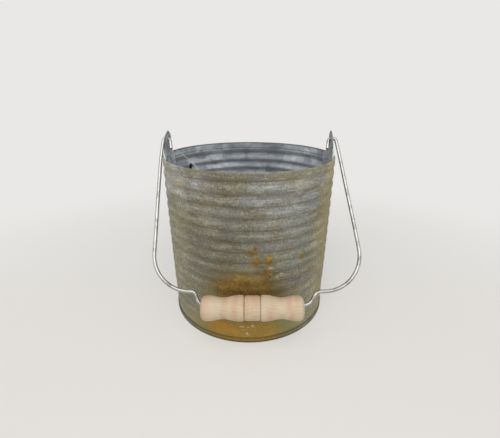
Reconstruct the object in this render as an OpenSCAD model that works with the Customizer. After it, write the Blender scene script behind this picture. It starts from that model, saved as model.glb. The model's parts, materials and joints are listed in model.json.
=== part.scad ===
// Ribbed galvanised milk pail with a wire bail and a turned wooden grip.
// Millimetres, +Z up. The origin is the centre of the foot ring, on the ground.
// +X is the right-hand ear, and at rest the bail hangs down on the -Y side.

/* [Body] */
// Outer radius of the hem at the rim
rim_r = 90; // [80:1:110]
// Height from the ground to the rim
body_h = 176.4; // [170:1:200]
// Thickness of the body sheet
sheet_t = 0.7; // [0.5:0.1:0.9]
// How far the wall stands inside the hem's outer face at its top
top_inset = 0.4; // [0.3:0.1:0.6]
// How far the wall stands inside the hem's outer face at its foot
foot_inset = 2.8; // [2:0.1:4]
// How far the wall bows outwards at half height
belly = 0.4; // [0:0.1:1]
// Height of the folded hem
hem_h = 7.2; // [6:0.2:9]

/* [Ribs] */
// Number of even ribs below the broad one
rib_count = 11; // [8:1:11]
// Height of one rib
rib_pitch = 10.8; // [9:0.1:10.8]
// Height of the broad rib just under the hem
broad_rib_h = 12.6; // [11:0.1:12.6]
// Depth of the highest rib
rib_depth_top = 1.2; // [0.8:0.1:1.4]
// Depth of the lowest rib
rib_depth_low = 0.3; // [0.2:0.1:0.5]

/* [Foot] */
// Height of the rolled bead round the foot
bead_h = 5.4; // [4.5:0.1:6.5]
// Height of the pail's floor above the ground
floor_h = 6; // [5.8:0.1:8]

/* [Ears] */
// Thickness of an ear plate
ear_t = 1.2; // [1:0.1:1.5]
// Radius of the lug that carries the bail
lug_r = 11.5; // [10:0.5:12]
// Height of the bail hole above the rim
pivot_rise = 15.8; // [14:0.2:17]
// Radius of the bail hole
hole_r = 2.5; // [2.4:0.1:2.8]
// Angle at which the left lug leans inwards
lug_lean_left = 8; // [5:1:10]
// Angle at which the right lug leans inwards
lug_lean_right = 5; // [3:1:8]
// Angle by which both lugs are turned clockwise, seen from above
lug_turn = 4; // [0:1:4]
// Half width of the plate that is riveted inside the wall
tab_half_w = 22; // [18:1:23]

/* [Rivets] */
// Shank radius of a rivet
rivet_r = 1.6; // [1.4:0.1:1.8]
// Radius of a rivet's heads
rivet_head_r = 2.9; // [2.5:0.1:3.2]

/* [Bail] */
// Radius of the bail wire
wire_r = 1.75; // [1.5:0.05:1.8]
// Angle at which the left leg leans outwards towards the grip
splay_left = -0.4; // [-0.7:0.1:2]
// Angle at which the right leg leans outwards towards the grip
splay_right = 6.9; // [0:0.1:7.5]
// Distance from the pivot to the two level runs beside the grip
run_drop = 157.2; // [150:0.2:159]
// Radius of the round shoulders
shoulder_r = 36; // [28:1:38]

/* [Grip] */
// Length of the grip
grip_l = 94.2; // [89:0.2:95]
// Largest radius of the grip, beside its two grooves
grip_r = 11.9; // [11.6:0.1:12.5]
// Radius between the two grooves
middle_r = 11.4; // [11.2:0.1:11.6]
// Radius at its two waists
waist_r = 9.7; // [9.2:0.1:10.4]
// Radius of the bore through the grip
bore_r = 4.6; // [4.5:0.1:4.9]
// Distance from the pivot to the grip's own axis
grip_drop = 172.1; // [171:0.1:173]

/* [Hidden] */

$fn = 96;
fit_gap = 0.05;             // between sheets that lie on each other
rest_gap = 0.8;             // between the resting grip and the wall

// wall
wall_low = 0.75;            // the sheet's lower edge, inside the foot's bead
rib_low = 7;                // the plain foot zone's bottom
hem_low = body_h - hem_h;
neck_z = hem_low - 2;       // the groove under the hem
rib_steps = 8;              // straight stretches to one rib
hem_round = 0.75;           // rounding of the hem's folded edge
groove_r = rim_r - top_inset - rib_depth_top / 2;

// side seam
lap_from = 164.5;           // angles round the pail, from +X towards +Y
lap_to = 137;
lap_mid = 149;
lap_bite = 0.12;            // how far the lap is pressed into the ribs behind it
lap_low = 12;
clip_from = [9.2, 0.5];     // the clipped corner: across from lap_mid, and below the hem
clip_knee = [-9, -12.6];
clip_to = [-18.5, -26];

// ears
bend_z = body_h + 5;        // where the lug starts to lean
tab_low = body_h - 29;
pivot_z = body_h + pivot_rise;
lug_z = pivot_z - 4.4;      // the round lug's centre
tip_z = lug_z + lug_r + 1.3;
shoulder_z = body_h + 3.9;
tab_corner_r = 5;
neck_half_w = 8.5;
lug_set = 0.25;             // how far the flat lug stands inside the curved plate's face
tab_out_r = groove_r - sheet_t - fit_gap;
tab_in_r = tab_out_r - ear_t;

// rivets
rivet_z = neck_z - broad_rib_h;
rivet_turn = 9.2;           // angle from the ear's middle
head_h = 1.1;

// bail
hook_r = 3.2;
hook_tail = 9.4;
tail_lean = 9;              // the tail leans away from the lug
knee_r = 60;                // a leg's slight bend beside the hem
knee_len = 18.5;            // straight stretch between that bend and the hook
bend_swell = 0.01;          // bends are this much thicker than the straight wire
joint_lap = 0.05;           // how far a straight stretch enters a bend
wire_lift = 2.6;            // the grip hangs this far below the wire inside its bore
wire_drop = grip_drop - wire_lift;
rest_tilt = asin((wall_r(pivot_z - grip_drop * 0.81) + grip_r + rest_gap) / grip_drop);

// Each side of the bail: leg splay, angle of the step, radii of the step's two bends,
// where the straight rod in the grip ends, how far the leg's top leans outwards towards
// the grip, and the middle and the length of the straight stretch in the ear's hole
left_side = [splay_left, 68, 4.7, 8, 40.2, 3.2, 86.5, 1];
right_side = [splay_right, 60, 8.5, 10, 50.3, 8, 87.5, 1.8];

// grip, measured from its own middle
grip_x = 3.15;
groove_x = 7.4;
groove_r_low = 10;          // radius at the bottom of a groove
shoulder_w = 2.6;           // the wood rounds off over this width beside a groove
shoulder_drop = 0.8;
crown_x = 11.9;
waist_x = 27;
end_bulge_x = 39.5;
end_bulge_r = 11.5;
end_round = 5;
mouth_r = 6;
mouth_depth = 3;

// ---- shapes that several pieces use ----

// Half the height between two levels, as a share of the wall
function level(z) = (z - rib_low) / (neck_z - rib_low);

// Outer radius of the wall, halfway between its crests and valleys
function wall_r(z) = rim_r - foot_inset + (foot_inset - top_inset) * level(z)
    + belly * 4 * level(z) * (1 - level(z));

// Depth of the ribs at a height
function rib_depth(z) = max(0, rib_depth_low
    + (rib_depth_top - rib_depth_low) * (z - rib_end) / (neck_z - rib_end));

rib_end = neck_z - broad_rib_h - rib_count * rib_pitch;

// One rib's outer face, from its top valley downwards
function rib(top, tall) = [for (i = [0 : rib_steps - 1])
    let (z = top - tall * i / rib_steps)
    [wall_r(z) - rib_depth(z) / 2 * cos(360 * i / rib_steps), z]];

// The wall's outer face from the hem down to the foot
function wall_face() = concat(
    [[groove_r, hem_low]],
    rib(neck_z, broad_rib_h),
    [for (k = [0 : rib_count - 1]) each rib(neck_z - broad_rib_h - k * rib_pitch, rib_pitch)],
    [[wall_r(rib_end) - rib_depth_low / 2, rib_end],
     [wall_r((rib_end + rib_low) / 2), (rib_end + rib_low) / 2],
     [wall_r(rib_low), rib_low],
     [wall_r(rib_low) - fit_gap, wall_low]]);

// The same points moved inwards, in the other order
function inner_face(face, t) = [for (i = [len(face) - 1 : -1 : 0]) [face[i][0] - t, face[i][1]]];

// Points on an arc, for outlines that are turned round an axis
function arc(centre, r, from, to, steps = 6) = [for (i = [0 : steps])
    let (a = from + (to - from) * i / steps)
    centre + r * [cos(a), sin(a)]];

// ---- body ----

module hem_outline() {
    inner = groove_r - sheet_t;
    polygon(concat(
        [[inner, hem_low - 1], [groove_r, hem_low - 1], [groove_r, hem_low], [rim_r - 0.3, hem_low]],
        arc([rim_r - 0.3, hem_low + 0.3], 0.3, -60, 0, 2),
        arc([rim_r - hem_round, body_h - hem_round], hem_round, 0, 90),
        arc([inner + hem_round, body_h - hem_round], hem_round, 90, 180)));
}

module wall() {
    face = wall_face();
    rotate_extrude()
        union() {
            polygon(concat(face, inner_face(face, sheet_t)));
            hem_outline();
        }
}

// The inner end of the sheet, where it laps over itself, with its top corner clipped
module lap() {
    face = [for (z = [neck_z, 111, 57, lap_low])
        [wall_r(z) - rib_depth(z) / 2 - sheet_t + lap_bite, z]];
    top = [[groove_r - sheet_t + lap_bite, hem_low + 2]];
    outline = concat(top, face);
    intersection() {
        rotate([0, 0, lap_to])
            rotate_extrude(angle = lap_from - lap_to)
                polygon(concat(outline, inner_face(outline, sheet_t + lap_bite)));
        rotate([0, 0, lap_mid])
            rotate([90, 0, 90])
                linear_extrude(height = rim_r + 10)
                    polygon([[40, 0], [40, body_h], [clip_from[0], body_h],
                        [clip_from[0], hem_low + clip_from[1]],
                        [clip_knee[0], hem_low + clip_knee[1]],
                        [clip_to[0], hem_low + clip_to[1]], [-40, hem_low - 60], [-40, 0]]);
    }
}

module body_sheet() {
    color([0.47, 0.46, 0.40])
        difference() {
            union() {
                wall();
                lap();
            }
            for (side = [0, 1], turn = [-1, 1])
                mirror([side, 0, 0])
                    rivet_line(turn)
                        cylinder(h = 40, r = rivet_r, center = true);
        }
}

// A disc with a skirt that turns under and up again round the wall's lower edge
module base_pan() {
    slot_in = wall_r(rib_low) - sheet_t - 2 * fit_gap;
    slot_out = wall_r(rib_low) + fit_gap;
    skirt_in = slot_in - sheet_t;
    bead_r = slot_out + sheet_t;
    foot_round = 1.2;
    slot_low = wall_low - fit_gap;
    color([0.42, 0.42, 0.38])
        rotate_extrude()
            polygon(concat(
                [[0, floor_h - sheet_t], [skirt_in, floor_h - sheet_t], [skirt_in, 0]],
                arc([bead_r - foot_round, foot_round], foot_round, -90, 0),
                arc([bead_r - sheet_t / 2, bead_h - sheet_t / 2], sheet_t / 2, 0, 180),
                [[slot_out, slot_low], [slot_in, slot_low], [slot_in, floor_h], [0, floor_h]]));
}

// ---- ears ----

// The lug's outline: across is Y, up is Z
module lug_outline() {
    tip_angle = acos(lug_r / (tip_z - lug_z));
    tangent = lug_r * [sin(tip_angle), cos(tip_angle)];
    translate([0, lug_z])
        circle(r = lug_r);
    polygon([[0, tip_z], [tangent[0], lug_z + tangent[1]], [0, lug_z],
        [-tangent[0], lug_z + tangent[1]]]);
}

// The outline of the plate under the lug, up to a neck that is a little narrower than the lug
module tab_outline() {
    polygon([[-tab_half_w, tab_low + tab_corner_r], [-tab_half_w, body_h - 1.5],
        [-13, shoulder_z], [-neck_half_w, shoulder_z], [-neck_half_w, bend_z],
        [neck_half_w, bend_z], [neck_half_w, shoulder_z], [13, shoulder_z],
        [tab_half_w, body_h - 1.5], [tab_half_w, tab_low + tab_corner_r]]);
    translate([-tab_half_w + tab_corner_r, tab_low])
        square([2 * (tab_half_w - tab_corner_r), tab_corner_r + 1]);
    for (side = [-1, 1])
        translate([side * (tab_half_w - tab_corner_r), tab_low + tab_corner_r])
            circle(r = tab_corner_r);
}

// An outline as a slab across the +X side of the pail
module slab(x, thick) {
    translate([x, 0, 0])
        rotate([90, 0, 90])
            linear_extrude(height = thick)
                children();
}

// The +X ear, with a lug that leans inwards and is turned a little about its own middle
module ear(lean, turn) {
    difference() {
        union() {
            // the part that lies inside the wall is curved with it
            intersection() {
                slab(tab_in_r - 8, 16)
                    tab_outline();
                translate([0, 0, tab_low - 1])
                    difference() {
                        cylinder(h = 50, r = tab_out_r);
                        translate([0, 0, -1])
                            cylinder(h = 52, r = tab_in_r);
                    }
            }
            // the lug is flat and leans inwards
            translate([tab_in_r, 0, bend_z])
                rotate([0, -lean, turn])
                    translate([-tab_in_r, 0, -bend_z])
                        intersection() {
                            slab(tab_in_r - lug_set, ear_t)
                                lug_outline();
                            translate([tab_in_r - 5, -20, bend_z - 0.6])
                                cube([10, 40, 40]);
                        }
        }
        translate([tab_out_r, 0, pivot_z])
            rotate([0, 90, 0])
                cylinder(h = 16, r = hole_r, center = true);
        for (turn = [-1, 1])
            rivet_line(turn)
                cylinder(h = 40, r = rivet_r, center = true);
    }
}

module ear_left() {
    color([0.52, 0.53, 0.52])
        mirror([1, 0, 0])
            ear(lug_lean_left, lug_turn);
}

module ear_right() {
    color([0.52, 0.53, 0.52])
        ear(lug_lean_right, -lug_turn);
}

// ---- rivets ----

// Puts children on a rivet's place in the +X ear, with their Z axis pointing outwards
module rivet_line(turn) {
    rotate([0, 0, turn * rivet_turn])
        translate([tab_out_r, 0, rivet_z])
            rotate([0, 90, 0])
                children();
}

module rivet(turn) {
    grip_len = ear_t + fit_gap + sheet_t + 0.05;
    dome_r = (rivet_head_r * rivet_head_r + head_h * head_h) / (2 * head_h);
    dome_angle = asin(rivet_head_r / dome_r);
    dome = arc([0, head_h - dome_r], dome_r, 90 - dome_angle, 90, 6);
    color([0.60, 0.60, 0.58])
        rivet_line(turn)
            translate([0, 0, -ear_t - 0.05])
                rotate_extrude()
                    polygon(concat(
                        [[0, -head_h * 0.7], [rivet_head_r - 0.4, -head_h * 0.7],
                         [rivet_head_r, -0.4], [rivet_head_r, 0],
                         [rivet_r, 0], [rivet_r, grip_len]],
                        [for (p = dome) p + [0, grip_len]]));
}

module rivet_left_front() {
    mirror([1, 0, 0])
        rivet(-1);
}

module rivet_left_back() {
    mirror([1, 0, 0])
        rivet(1);
}

module rivet_right_front() {
    rivet(-1);
}

module rivet_right_back() {
    rivet(1);
}

// ---- bail ----

// Puts children into the bail's plane: X across, Y from the pivot towards the grip
module bail_plane() {
    translate([0, 0, pivot_z])
        rotate([-90 - rest_tilt, 0, 0])
            mirror([0, 0, 1])
                children();
}

// A straight stretch of wire along +X, which enters the bends at its ends a little
module wire_run(len) {
    translate([-joint_lap, 0, 0])
        rotate([0, 90, 0])
            cylinder(h = len + 2 * joint_lap, r = wire_r);
}

// A bend that starts along +X and turns towards +Y, or towards -Y when turn is negative
module wire_bend(r, turn) {
    mirror([0, turn < 0 ? 1 : 0, 0])
        translate([0, r, 0])
            rotate([0, 0, -90])
                rotate_extrude(angle = abs(turn))
                    translate([r, 0])
                        circle(r = wire_r + bend_swell);
}

// Bends a wire step by step: [length] runs straight and [radius, angle] bends
module bent_wire(steps, i = 0) {
    if (i < len(steps)) {
        step = steps[i];
        if (len(step) == 1) {
            wire_run(step[0]);
            translate([step[0], 0, 0])
                bent_wire(steps, i + 1);
        } else {
            turn = step[1];
            wire_bend(step[0], turn);
            translate([step[0] * sin(abs(turn)), sign(turn) * step[0] * (1 - cos(turn)), 0])
                rotate([0, 0, turn])
                    bent_wire(steps, i + 1);
        }
    }
}

// Length of a leg's long stretch, between its shoulder and its knee
function leg_len(splay, lean) = (run_drop - shoulder_r * (1 + sin(splay))
    - knee_r * (sin(lean) - sin(splay)) - knee_len * cos(lean)
    - hook_r * (1 - sin(lean))) / cos(splay);

// Where the round shoulder starts, so that the hook ends up in its ear
function shoulder_x(splay, lean, hook_end) = hook_end + hook_r * cos(lean)
    + knee_len * sin(lean) - knee_r * (cos(lean) - cos(splay))
    + leg_len(splay, lean) * sin(splay) - shoulder_r * cos(splay);

// One half of the bail, from the middle of the grip to the hook's tail, with +Y towards
// the pivot; side is one of left_side and right_side
module half_bail(side) {
    splay = side[0];
    angle = side[1];
    bend_a = side[3];
    bend_b = side[2];
    lean = side[5];
    rise = wire_drop - run_drop - (bend_a + bend_b) * (1 - cos(angle));
    slant = rise / sin(angle);
    step_w = (bend_a + bend_b) * sin(angle) + slant * cos(angle);
    level_run = shoulder_x(splay, lean, side[6] + side[7] / 2) - side[4] - step_w;
    bent_wire([
        [side[4]],
        [bend_a, angle], [slant], [bend_b, -angle],
        [level_run],
        [shoulder_r, 90 + splay],
        [leg_len(splay, lean)],
        [knee_r, lean - splay], [knee_len],
        [hook_r, 90 - lean], [side[7]], [hook_r, 90 - tail_lean],
        [hook_tail]]);
}

module bail_wire() {
    color([0.80, 0.80, 0.79])
        bail_plane()
            translate([0, wire_drop, 0]) {
                rotate([180, 0, 0])
                    half_bail(right_side);
                mirror([1, 0, 0])
                    rotate([180, 0, 0])
                        half_bail(left_side);
            }
}

// ---- grip ----

// The rounded shoulder on one side of a groove, from its crest inwards: side is -1 or 1
function shoulder(crest, side) = [for (t = [1, 0.75, 0.5, 0.2])
    [groove_x + side * shoulder_w * t, crest - shoulder_drop * (1 - t) * (1 - t)]];

// Half of the grip's outline, from the middle to its end: [along, radius]
function grip_half() = let (
        neck = [for (i = [0 : 8]) let (t = i / 8)
            [crown_x + (waist_x - crown_x) * t,
             waist_r + (grip_r - waist_r) * (1 + cos(180 * t)) / 2]],
        swell = [for (i = [1 : 6]) let (t = i / 6)
            [waist_x + (end_bulge_x - waist_x) * t,
             end_bulge_r - (end_bulge_r - waist_r) * (1 + cos(180 * t)) / 2]])
    concat(
        [[0, middle_r]], shoulder(middle_r, -1), [[groove_x, groove_r_low]],
        [for (i = [3 : -1 : 0]) shoulder(grip_r, 1)[i]],
        neck, swell,
        arc([grip_l / 2 - end_round, end_bulge_r - end_round], end_round, 80, 0, 6),
        [[grip_l / 2, mouth_r], [grip_l / 2 - mouth_depth, bore_r]]);

module grip() {
    half = grip_half();
    outline = concat(half, [for (i = [len(half) - 1 : -1 : 1]) [-half[i][0], half[i][1]]]);
    color([0.83, 0.72, 0.60])
        bail_plane()
            translate([grip_x, grip_drop, 0])
                rotate([0, 90, 0])
                    rotate_extrude()
                        polygon([for (p = outline) [p[1], p[0]]]);
}

body_sheet();
base_pan();
ear_left();
ear_right();
rivet_left_front();
rivet_left_back();
rivet_right_front();
rivet_right_back();
bail_wire();
grip();
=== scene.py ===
"""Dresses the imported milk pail: ribbed zinc body, rolled base, riveted ears, wire bail and turned grip."""
import json
import logging
from dataclasses import dataclass
from enum import Enum
from math import acos, asin, atan2, cos, degrees, hypot, pi, radians, sin

import bmesh
import bpy
from mathutils import Matrix, Vector, noise


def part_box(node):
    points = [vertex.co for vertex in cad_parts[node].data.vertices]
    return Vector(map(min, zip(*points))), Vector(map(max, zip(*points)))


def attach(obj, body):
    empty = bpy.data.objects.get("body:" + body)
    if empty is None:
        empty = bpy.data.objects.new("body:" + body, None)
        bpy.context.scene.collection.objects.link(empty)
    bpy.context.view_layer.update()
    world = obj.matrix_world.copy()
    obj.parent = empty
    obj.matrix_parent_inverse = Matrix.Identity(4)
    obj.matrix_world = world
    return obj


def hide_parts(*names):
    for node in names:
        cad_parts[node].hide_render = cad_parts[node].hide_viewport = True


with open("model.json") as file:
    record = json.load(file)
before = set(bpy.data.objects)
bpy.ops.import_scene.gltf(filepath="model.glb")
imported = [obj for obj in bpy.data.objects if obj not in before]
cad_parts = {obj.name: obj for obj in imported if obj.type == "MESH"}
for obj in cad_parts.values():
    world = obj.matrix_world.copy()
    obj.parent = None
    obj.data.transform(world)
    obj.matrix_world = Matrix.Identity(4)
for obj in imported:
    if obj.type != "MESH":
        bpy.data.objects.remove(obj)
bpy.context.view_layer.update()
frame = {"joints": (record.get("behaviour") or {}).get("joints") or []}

MM = 0.001
FULL_TURN = 2 * pi
LOG = logging.getLogger("milk_pail")

Colour = tuple[float, float, float, float]
Point = tuple[float, float]
Triple = tuple[float, float, float]
Mesh = bmesh.types.BMesh
Vert = bmesh.types.BMVert
Edge = bmesh.types.BMEdge
Material = bpy.types.Material


# ---- small tools ----

def paint(red: int, green: int, blue: int) -> Colour:
    """A display colour from 0 to 255 a channel, as the linear colour that shaders take.

    Args:
        red: Red channel.
        green: Green channel.
        blue: Blue channel.

    Returns:
        The linear colour with an alpha of 1.
    """
    def linear(channel: int) -> float:
        """One channel made linear."""
        share = channel / 255
        return share / 12.92 if share <= 0.04045 else ((share + 0.055) / 1.055) ** 2.4
    return (linear(red), linear(green), linear(blue), 1.0)


def arc(centre: Point, radius: float, start: float, end: float, steps: int) -> list[Point]:
    """Points along an arc of an outline.

    Args:
        centre: Middle of the arc.
        radius: Its radius.
        start: First angle, in degrees.
        end: Last angle, in degrees.
        steps: How many straight stretches stand for it.

    Returns:
        The points, both ends included.
    """
    angles = [radians(start + (end - start) * i / steps) for i in range(steps + 1)]
    return [(centre[0] + radius * cos(a), centre[1] + radius * sin(a)) for a in angles]


def smooth_step(low: float, high: float, value: float) -> float:
    """0 below low, 1 above high, and a smooth rise between them."""
    share = min(1.0, max(0.0, (value - low) / (high - low)))
    return share * share * (3 - 2 * share)


def off_axis(point: Vector) -> float:
    """Distance of a point in metres from the pail's axis, in millimetres."""
    return hypot(point.x, point.y) / MM


def push_out(vert: Vert, by: float) -> None:
    """Moves a point straight away from the pail's axis, by millimetres."""
    vert.co.xy *= 1 + by / off_axis(vert.co)


def of_kind(parts: list, kind: type) -> list:
    """Only the verts or the edges of a mixed list."""
    return [part for part in parts if isinstance(part, kind)]


def cut(mesh: Mesh, place: Vector, normal: Vector, clear: bool = False) -> None:
    """Cuts a whole mesh along a plane.

    Args:
        mesh: The mesh.
        place: A point of the plane, in metres.
        normal: The plane's normal.
        clear: Whether what lies on the normal's side is taken away.
    """
    bmesh.ops.bisect_plane(mesh, geom=mesh.verts[:] + mesh.edges[:] + mesh.faces[:], dist=1e-7,
                           plane_co=place, plane_no=normal, clear_outer=clear)


def put(mesh: Mesh, matrix: Matrix) -> None:
    """Moves a whole mesh."""
    bmesh.ops.transform(mesh, matrix=matrix, verts=mesh.verts)


def lathe(outline: list[Point], steps: int, closed: bool = True, angle: float = FULL_TURN) -> Mesh:
    """Turns an outline of (radius, height) points about the Z axis.

    Args:
        outline: The points, in millimetres.
        steps: Segments round the turn.
        closed: Whether the outline's last point joins its first.
        angle: How far it turns; a full turn is merged with its start.

    Returns:
        The turned mesh with its faces outwards.
    """
    mesh = bmesh.new()
    verts = [mesh.verts.new((r * MM, 0.0, z * MM)) for r, z in outline]
    edges = [mesh.edges.new(pair) for pair in zip(verts, verts[1:])]
    if closed:
        edges.append(mesh.edges.new((verts[-1], verts[0])))
    bmesh.ops.spin(mesh, geom=verts + edges, cent=(0, 0, 0), axis=(0, 0, 1), angle=angle,
                   steps=steps, use_merge=angle >= FULL_TURN)
    bmesh.ops.remove_doubles(mesh, verts=mesh.verts, dist=1e-7)
    bmesh.ops.recalc_face_normals(mesh, faces=mesh.faces)
    return mesh


def add_object(name: str, data: bpy.types.ID) -> bpy.types.Object:
    """Puts a mesh, a lamp or a camera into the scene.

    Args:
        name: Name of the object.
        data: What it shows.

    Returns:
        The new object.
    """
    made = bpy.data.objects.new(name, data)
    bpy.context.scene.collection.objects.link(made)
    return made


def add_mesh(mesh: Mesh, name: str, finishes: list[Material], limit: float) -> bpy.types.Object:
    """Turns a bmesh into an object, shaded smooth apart from its sharp edges.

    Args:
        mesh: Its shape, in the shared frame, in metres. It is freed.
        name: Name of the object.
        finishes: Materials, in the order of the faces' material numbers.
        limit: An edge stays sharp where the surface turns by more than this many degrees.

    Returns:
        The new object.
    """
    for face in mesh.faces:
        face.smooth = True
    for edge in mesh.edges:
        edge.smooth = len(edge.link_faces) != 2 or edge.calc_face_angle(0.0) < radians(limit)
    data = bpy.data.meshes.new(name)
    mesh.to_mesh(data)
    mesh.free()
    for material in finishes:
        data.materials.append(material)
    return add_object(name, data)


def finish_piece(mesh: Mesh, name: str, body: str, finishes: list[Material],
                 nodes: tuple[str, ...] = (), limit: float = 38) -> None:
    """Turns a bmesh into a piece of the pail.

    Args:
        mesh: Its shape, in the shared frame, in metres.
        name: Name of the piece.
        body: The moving body that it rides on.
        finishes: Materials, in the order of the faces' material numbers.
        nodes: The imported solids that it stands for.
        limit: The turn in degrees above which an edge stays sharp.
    """
    piece = add_mesh(mesh, name, finishes, limit)
    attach(piece, body)
    if nodes:
        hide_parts(*nodes)
    LOG.info("%s: %d faces on %s", name, len(piece.data.polygons), body)


# ---- shader maths ----

class Value:
    """One socket of a material's node graph, which takes part in ordinary arithmetic."""

    def __init__(self, graph: "Graph", socket: bpy.types.NodeSocket) -> None:
        """Wraps a socket of a graph."""
        self.graph = graph
        self.socket = socket

    def math(self, operation: str, *others: "Operand") -> "Value":
        """A Math node on this value and others."""
        operands = {i + 1: other for i, other in enumerate(others)}
        return self.graph.node("ShaderNodeMath", {"operation": operation}, {0: self, **operands})

    def __add__(self, other: "Operand") -> "Value":
        """self + other."""
        return self.math("ADD", other)

    def __mul__(self, other: "Operand") -> "Value":
        """self * other."""
        return self.math("MULTIPLY", other)

    def __sub__(self, other: "Operand") -> "Value":
        """self - other."""
        return self.math("SUBTRACT", other)

    def __truediv__(self, other: "Operand") -> "Value":
        """self / other."""
        return self.math("DIVIDE", other)

    __radd__ = __add__
    __rmul__ = __mul__

    def __rsub__(self, other: float) -> "Value":
        """other - self."""
        return self.graph.node("ShaderNodeMath", {"operation": "SUBTRACT"}, {0: other, 1: self})

    def __abs__(self) -> "Value":
        """The value without its sign."""
        return self.math("ABSOLUTE")

    def larger(self, other: "Operand") -> "Value":
        """The larger of two values."""
        return self.math("MAXIMUM", other)

    def rise(self, low: float, high: float) -> "Value":
        """0 at low, 1 at high, smooth between; high may be below low."""
        return self.graph.node("ShaderNodeMapRange", {"interpolation_type": "SMOOTHSTEP"},
                               {"Value": self, "From Min": low, "From Max": high})


Operand = Value | float


class Graph:
    """A material's node graph, built from expressions."""

    def __init__(self, name: str) -> None:
        """Starts an empty material.

        Args:
            name: Its name.
        """
        self.material = bpy.data.materials.new(name)
        self.material.use_nodes = True
        self.tree = self.material.node_tree
        self.tree.nodes.clear()
        self.place = self.node("ShaderNodeTexCoord", {}, {}, "Object")
        self.x, self.y, self.z = (self.part(self.place, axis) for axis in "XYZ")

    def node(self, kind: str, settings: dict, inputs: dict, out: str | int = 0) -> Value:
        """Adds any node.

        Args:
            kind: Its type.
            settings: Properties that are set first; "stops" gives a ramp's (place, colour) pairs.
            inputs: Values or links, by socket name or number.
            out: Name or number of the output that is returned.

        Returns:
            That output.
        """
        made = self.tree.nodes.new(kind)
        for name, setting in settings.items():
            if name == "stops":
                self._set_stops(made.color_ramp, setting)
            else:
                setattr(made, name, setting)
        for name, value in inputs.items():
            if isinstance(value, Value):
                self.tree.links.new(value.socket, made.inputs[name])
            else:
                made.inputs[name].default_value = value
        return Value(self, made.outputs[out])

    @staticmethod
    def _set_stops(ramp: bpy.types.ColorRamp, stops: list[tuple[float, Colour]]) -> None:
        """Gives a ramp its stops.

        Args:
            ramp: The ramp.
            stops: Its places from 0 to 1 and their colours.
        """
        while len(ramp.elements) < len(stops):
            ramp.elements.new(1.0)
        for element, (place, colour) in zip(ramp.elements, stops):
            element.position = place
            element.color = colour

    def part(self, vector: Value, axis: str) -> Value:
        """One component of a vector."""
        return self.node("ShaderNodeSeparateXYZ", {}, {0: vector}, axis)

    def scaled(self, vector: Value, by: Triple) -> Value:
        """A vector times another, component by component."""
        return self.node("ShaderNodeVectorMath", {"operation": "MULTIPLY"}, {0: vector, 1: by})

    def shifted(self, vector: Value, by: "Value | Triple") -> Value:
        """A vector plus another."""
        return self.node("ShaderNodeVectorMath", {"operation": "ADD"}, {0: vector, 1: by})

    def reach(self, vector: Value) -> Value:
        """Length of a vector."""
        return self.node("ShaderNodeVectorMath", {"operation": "LENGTH"}, {0: vector}, "Value")

    def seen_from(self, point: Triple) -> Value:
        """Coordinates measured from a point."""
        return self.shifted(self.place, tuple(-along for along in point))

    def cloud(self, size: float, detail: float = 3, roughness: float = 0.5, at: Value | None = None,
              stretch: Triple = (1, 1, 1), seed: float = 0.0) -> Value:
        """Soft noise from 0 to 1.

        Args:
            size: Width of one blotch, in metres.
            detail: Octaves.
            roughness: Strength of the small octaves.
            at: Coordinates; the object's own when left out.
            stretch: Squeezes the pattern along X, Y and Z.
            seed: Moves the pattern.

        Returns:
            The noise.
        """
        where = self.shifted(self.scaled(at or self.place, stretch), (seed, seed * 0.7, seed * 1.3))
        return self.node("ShaderNodeTexNoise", {}, {"Vector": where, "Scale": 1 / size, "Detail": detail,
                                                    "Roughness": roughness})

    def cells(self, size: float, at: Value, soft: float) -> Value:
        """A random grey from 0 to 1 for each soft-edged cell.

        Args:
            size: Width of a cell, in metres.
            at: Coordinates.
            soft: Softness of the edges, from 0 to 1.

        Returns:
            The grey.
        """
        colour = self.node("ShaderNodeTexVoronoi", {"feature": "SMOOTH_F1"},
                           {"Vector": at, "Scale": 1 / size, "Smoothness": soft}, "Color")
        return self.part(colour, "X")

    def ramp(self, value: Value, *stops: tuple[float, Colour]) -> Value:
        """A colour that follows a value through stops."""
        return self.node("ShaderNodeValToRGB", {"stops": list(stops)}, {0: value})

    def mix(self, share: Operand, low: "Value | Colour", high: "Value | Colour") -> Value:
        """One colour laid over another by a share."""
        return self.node("ShaderNodeMix", {"data_type": "RGBA", "clamp_factor": True},
                         {0: share, 6: low, 7: high}, 2)

    def gained(self, share: Operand, colour: Value, gain: Triple) -> Value:
        """A colour whose red, green and blue are multiplied by a gain, by a share."""
        return self.mix(share, colour, self.scaled(colour, gain))

    def bump(self, height: Value, distance: float, strength: float) -> Value:
        """A normal from a height from 0 to 1 that stands for a distance in metres."""
        return self.node("ShaderNodeBump", {},
                         {"Strength": strength, "Distance": distance, "Height": height})

    def surface(self, colour: "Value | Colour", **sockets: "Value | float | Colour") -> Material:
        """Ends the graph in a Principled shader.

        Args:
            colour: Base colour.
            sockets: Other sockets by name, with _ for a space.

        Returns:
            The finished material.
        """
        named = {name.replace("_", " "): value for name, value in sockets.items()}
        shader = self.node("ShaderNodeBsdfPrincipled", {}, {"Base Color": colour, **named})
        self.node_output(shader)
        return self.material

    def node_output(self, shader: Value) -> None:
        """Links a shader to the material's output."""
        output = self.tree.nodes.new("ShaderNodeOutputMaterial")
        self.tree.links.new(shader.socket, output.inputs["Surface"])


# ---- finishes ----

@dataclass(frozen=True)
class Ribs:
    """Where the ribs lie, so that finishes can follow them. Lengths are in metres."""
    broad_end: float
    pitch: float
    broad_pitch: float

    def wave(self, graph: Graph, shift: Operand) -> Value:
        """A wave from -1 to 1, highest where the outside of a rib faces up.

        Args:
            graph: The material's graph.
            shift: Moves the wave up, as a share of a rib.

        Returns:
            The wave.
        """
        drop = self.broad_end - graph.z
        turn = (drop / self.pitch).larger(drop / self.broad_pitch)
        return ((turn + shift) * FULL_TURN).math("SINE")


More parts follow.
